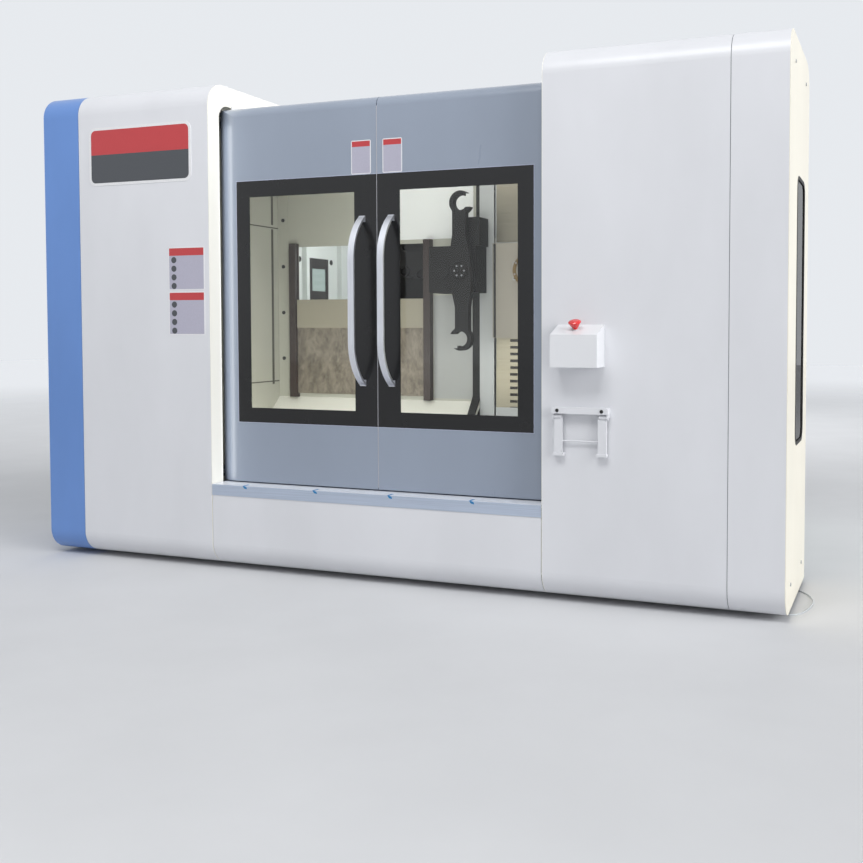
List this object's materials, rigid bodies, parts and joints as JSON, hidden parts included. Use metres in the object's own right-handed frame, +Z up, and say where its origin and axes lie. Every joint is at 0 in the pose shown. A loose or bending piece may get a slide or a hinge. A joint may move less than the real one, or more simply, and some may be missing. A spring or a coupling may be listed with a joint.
{
  "type": "cnc machining center",
  "caption": "Horizontal CNC machining centre with a blue and white enclosure, twin sliding glass doors, a tool changer, a pallet table and a rear cabinet.",
  "frame": {"origin": "centre of the footprint on the floor", "axes": "+Z up, +X along the front away from the blue end, +Y from the doors to the back"},
  "size_m": [4.3959, 3.4, 2.754],
  "materials": {
    "blue_cover": "satin",
    "white_covers": "satin",
    "cream_walls": "satin",
    "door_paint": "satin",
    "black_border": "gloss",
    "clear_panes": "clear",
    "handles": "satin",
    "stainless": "satin",
    "bare_steel": "satin",
    "grey_panels": "satin",
    "castings": "matt",
    "dark_posts": "satin",
    "black_parts": "satin",
    "black_curtain": "matt",
    "red_button": "gloss",
    "clear_hose": "gloss"
  },
  "bodies": {
    "machine": {"levelling_feet": "bare_steel", "bed_casting": "castings", "enclosure_frame": "castings", "end_cover_left": "blue_cover", "front_cover_left": "white_covers", "inner_walls": "white_covers", "door_apron": "white_covers", "door_sill": "stainless", "door_rails": "bare_steel", "front_cover_right": "white_covers", "corner_cover_right": "white_covers", "side_panel_right": "cream_walls", "side_window": "clear_panes", "housing_backs": "white_covers", "work_roof": "white_covers", "splash_walls": "cream_walls", "rear_splash_wall": "cream_walls", "chip_chute": "cream_walls", "shutter_posts": "dark_posts", "column_casting": "castings", "column_panels": "grey_panels", "column_curtain": "black_curtain", "head_ball_screw": "bare_steel", "atc_cam_box": "black_parts", "magazine_plate": "black_parts", "stop_box": "white_covers", "bracket_bar": "white_covers", "rear_guard": "white_covers", "cabinet_body": "grey_panels", "coolant_tank": "grey_panels", "drain_hose": "clear_hose"},
    "left_door": {"left_door_panel": "door_paint", "left_window_border": "black_border", "left_window_glass": "clear_panes", "left_door_handle": "handles"},
    "right_door": {"right_door_panel": "door_paint", "right_window_border": "black_border", "right_window_glass": "clear_panes", "right_door_handle": "handles"},
    "stop_button": {"stop_button": "red_button"},
    "bracket_frame": {"bracket_frame": "white_covers"},
    "shutter": {"shutter_panel": "stainless", "shutter_rail": "cream_walls"},
    "head": {"headstock": "grey_panels", "head_nut_drive": "black_parts"},
    "spindle": {"spindle": "bare_steel"},
    "upper_cover_a": {"head_cover_upper_a": "stainless"},
    "upper_cover_b": {"head_cover_upper_b": "stainless"},
    "lower_cover_a": {"head_cover_lower_a": "stainless"},
    "lower_cover_b": {"head_cover_lower_b": "stainless"},
    "saddle": {"saddle": "castings"},
    "table": {"table_slide": "castings"},
    "pallet": {"rotary_pallet": "bare_steel"},
    "front_way_cover": {"saddle_cover_front": "stainless"},
    "rear_way_cover": {"saddle_cover_rear": "stainless"},
    "quill": {"atc_quill": "bare_steel"},
    "arm": {"atc_arm": "black_parts"},
    "magazine": {"magazine_disc": "black_parts"},
    "cabinet_door_left": {"cabinet_door_left": "grey_panels"},
    "cabinet_door_right": {"cabinet_door_right": "grey_panels"}
  },
  "joints": [
    {"name": "left_door_slide", "type": "slide", "parent": "machine", "child": "left_door", "axis": [-1, 0, 0], "range_m": [0, 0.82]},
    {"name": "right_door_slide", "type": "slide", "parent": "machine", "child": "right_door", "axis": [1, 0, 0], "range_m": [0, 0.82]},
    {"name": "stop_press", "type": "slide", "parent": "machine", "child": "stop_button", "axis": [0, 0.365, -0.931], "range_m": [0, 0.005], "stiffness_N_per_m": 3000},
    {"name": "bracket_fold", "type": "hinge", "parent": "machine", "child": "bracket_frame", "pos_m": [1.184, -1.599, 0.932], "axis": [-1, 0, 0], "range_deg": [0, 90]},
    {"name": "shutter_lift", "type": "slide", "parent": "machine", "child": "shutter", "axis": [0, 0, 1], "range_m": [0, 0.375]},
    {"name": "head_slide", "type": "slide", "parent": "machine", "child": "head", "axis": [0, 0, 1], "range_m": [-0.7, 0]},
    {"name": "spindle_spin", "type": "hinge", "parent": "head", "child": "spindle", "pos_m": [0.422, -0.175, 1.72], "axis": [0, -1, 0], "continuous": true},
    {"name": "upper_cover_a_slide", "type": "slide", "parent": "machine", "child": "upper_cover_a", "axis": [0, 0, 1], "range_m": [-0.47, 0]},
    {"name": "upper_cover_b_slide", "type": "slide", "parent": "machine", "child": "upper_cover_b", "axis": [0, 0, 1], "range_m": [-0.235, 0]},
    {"name": "lower_cover_a_slide", "type": "slide", "parent": "machine", "child": "lower_cover_a", "axis": [0, 0, 1], "range_m": [-0.47, 0]},
    {"name": "lower_cover_b_slide", "type": "slide", "parent": "machine", "child": "lower_cover_b", "axis": [0, 0, 1], "range_m": [-0.235, 0]},
    {"name": "saddle_slide", "type": "slide", "parent": "machine", "child": "saddle", "axis": [0, 1, 0], "range_m": [-0.14, 0.14]},
    {"name": "table_traverse", "type": "slide", "parent": "saddle", "child": "table", "axis": [1, 0, 0], "range_m": [-0.45, 0.45]},
    {"name": "pallet_turn", "type": "hinge", "parent": "table", "child": "pallet", "pos_m": [0.422, -0.785, 0.7], "axis": [0, 0, 1], "continuous": true},
    {"name": "front_way_cover_slide", "type": "slide", "parent": "machine", "child": "front_way_cover", "axis": [0, 1, 0], "range_m": [-0.07, 0.07]},
    {"name": "rear_way_cover_slide", "type": "slide", "parent": "machine", "child": "rear_way_cover", "axis": [0, 1, 0], "range_m": [-0.07, 0.07]},
    {"name": "arm_plunge", "type": "slide", "parent": "machine", "child": "quill", "axis": [0, -1, 0], "range_m": [0, 0.11]},
    {"name": "arm_swing", "type": "hinge", "parent": "quill", "child": "arm", "pos_m": [-0.01, -0.325, 1.72], "axis": [0, 1, 0], "range_deg": [0, 270]},
    {"name": "magazine_turn", "type": "hinge", "parent": "machine", "child": "magazine", "pos_m": [-0.442, -0.025, 2.11], "axis": [0, 1, 0], "continuous": true},
    {"name": "cabinet_left_hinge", "type": "hinge", "parent": "machine", "child": "cabinet_door_left", "pos_m": [-0.466, 1.655, 1], "axis": [0, 0, 1], "range_deg": [0, 110]},
    {"name": "cabinet_right_hinge", "type": "hinge", "parent": "machine", "child": "cabinet_door_right", "pos_m": [1.516, 1.655, 1], "axis": [0, 0, -1], "range_deg": [0, 110]}
  ],
  "couplings": [
    {"joint": "upper_cover_a_slide", "follows": "head_slide", "ratio": 0.6667},
    {"joint": "upper_cover_b_slide", "follows": "head_slide", "ratio": 0.3333},
    {"joint": "lower_cover_a_slide", "follows": "head_slide", "ratio": 0.6667},
    {"joint": "lower_cover_b_slide", "follows": "head_slide", "ratio": 0.3333},
    {"joint": "front_way_cover_slide", "follows": "saddle_slide", "ratio": 0.5},
    {"joint": "rear_way_cover_slide", "follows": "saddle_slide", "ratio": 0.5}
  ]
}
